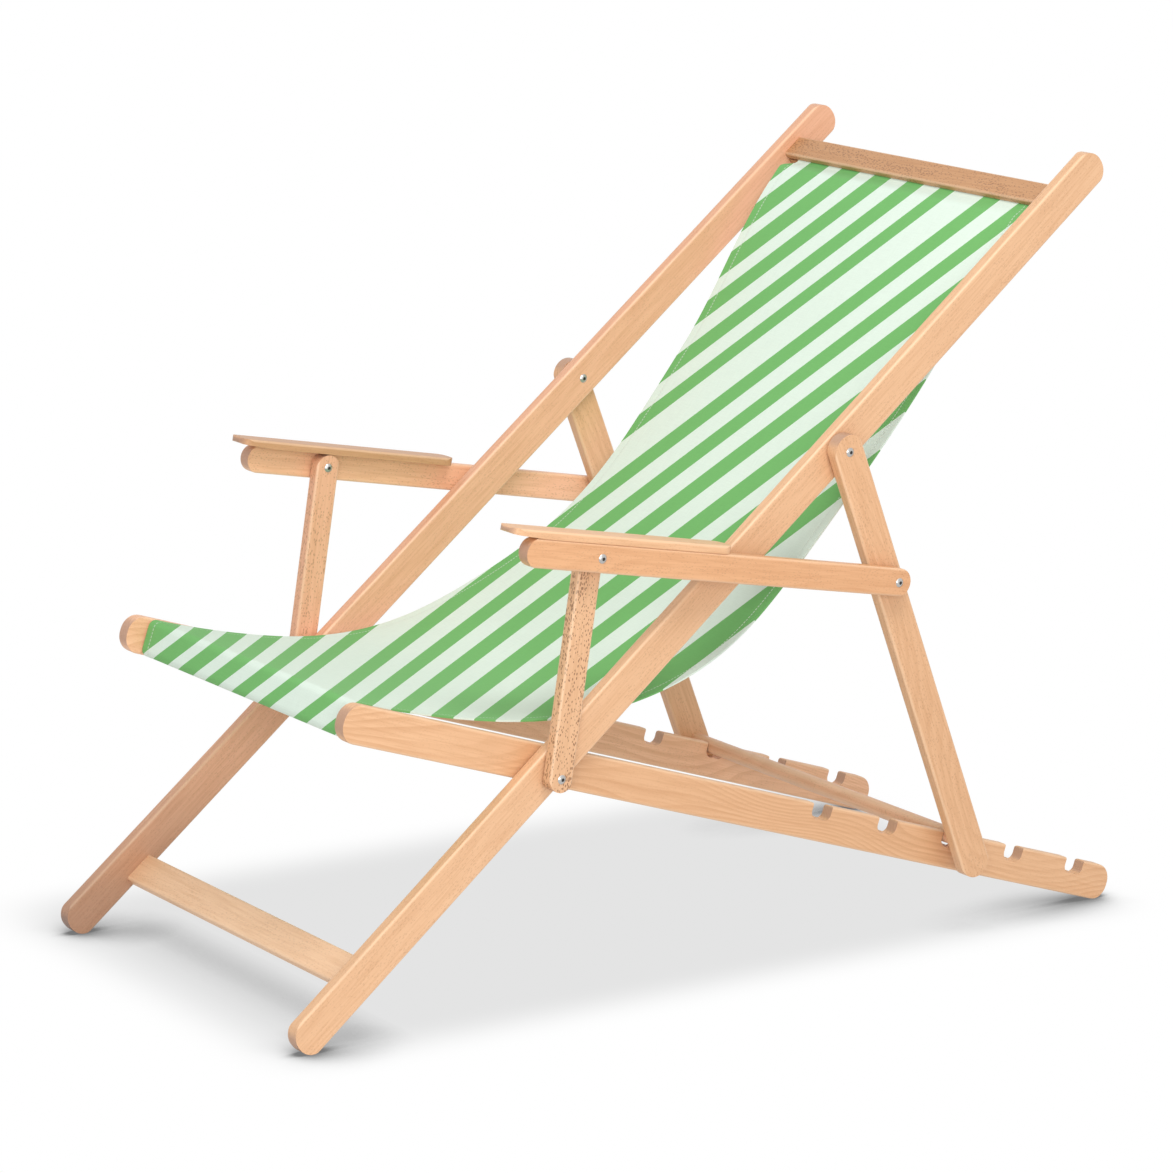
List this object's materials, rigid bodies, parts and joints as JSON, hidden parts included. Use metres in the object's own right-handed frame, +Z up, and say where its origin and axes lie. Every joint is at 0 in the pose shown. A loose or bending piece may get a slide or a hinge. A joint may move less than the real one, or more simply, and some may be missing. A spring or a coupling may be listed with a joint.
{
  "type": "folding deck chair with armrests",
  "caption": "Folding wooden deck chair with armrests, a notched reclining frame, swinging prop legs and a hanging striped fabric sling.",
  "frame": {"origin": "on the floor, at the middle of the chair's width and half way between its front feet and its rear ends", "axes": "+Z up, +X to the sitter's left, -Y towards the front of the seat"},
  "size_m": [0.587, 1.161, 0.9079],
  "materials": {
    "beech": "satin clear varnish over pale pinkish-tan wood with small dark flecks",
    "steel": "bright zinc-plated, smooth domed heads",
    "striped_fabric": "plain-woven green and pale mint stripes, matt",
    "hem_rod_wood": "plain unvarnished wood"
  },
  "bodies": {
    "long_frame": {"long_rail_left": "beech", "long_rail_right": "beech", "top_board": "beech", "foot_stretcher": "beech", "sling": "striped_fabric", "top_hem_rod": "hem_rod_wood", "seat_pivot_bolts": "steel", "seat_pivot_washers": "steel", "leg_pivot_bolts": "steel", "leg_pivot_washers": "steel"},
    "seat_frame": {"short_rail_left": "beech", "short_rail_right": "beech", "front_bar": "beech", "front_wrap": "striped_fabric", "front_hem_rod": "hem_rod_wood"},
    "leg_frame": {"leg_left": "beech", "leg_right": "beech", "prop_bar": "beech", "arm_rear_caps": "steel", "arm_rear_washers": "steel"},
    "post_left": {"post_left": "beech"},
    "post_right": {"post_right": "beech"},
    "arm_left": {"arm_bar_left": "beech", "armrest_left": "beech", "arm_front_bolt_left": "steel", "arm_front_washer_left": "steel", "arm_rear_bolt_left": "steel"},
    "arm_right": {"arm_bar_right": "beech", "armrest_right": "beech", "arm_front_bolt_right": "steel", "arm_front_washer_right": "steel", "arm_rear_bolt_right": "steel"}
  },
  "joints": [
    {"name": "seat_hinge", "type": "hinge", "parent": "long_frame", "child": "seat_frame", "pos_m": [0, -0.25978, 0.26599], "axis": [1, 0, 0], "range_deg": [-20, 0]},
    {"name": "leg_hinge", "type": "hinge", "parent": "long_frame", "child": "leg_frame", "pos_m": [0, 0.12015, 0.59261], "axis": [1, 0, 0], "range_deg": [0, 107.4]},
    {"name": "post_hinge_left", "type": "hinge", "parent": "long_frame", "child": "post_left", "pos_m": [0.265, -0.25978, 0.26599], "axis": [1, 0, 0], "range_deg": [-42.1, 0]},
    {"name": "post_hinge_right", "type": "hinge", "parent": "long_frame", "child": "post_right", "pos_m": [-0.265, -0.25978, 0.26599], "axis": [1, 0, 0], "range_deg": [-42.1, 0]},
    {"name": "arm_hinge_left", "type": "hinge", "parent": "post_left", "child": "arm_left", "pos_m": [0.2835, -0.22851, 0.5105], "axis": [1, 0, 0], "range_deg": [0, 92.3]},
    {"name": "arm_hinge_right", "type": "hinge", "parent": "post_right", "child": "arm_right", "pos_m": [-0.2835, -0.22851, 0.5105], "axis": [1, 0, 0], "range_deg": [0, 92.3]}
  ],
  "couplings": [
    {"joint": "post_hinge_left", "follows": "leg_hinge", "ratio": -0.39109},
    {"joint": "post_hinge_right", "follows": "leg_hinge", "ratio": -0.39109},
    {"joint": "arm_hinge_left", "follows": "leg_hinge", "ratio": 0.85846},
    {"joint": "arm_hinge_right", "follows": "leg_hinge", "ratio": 0.85846}
  ]
}
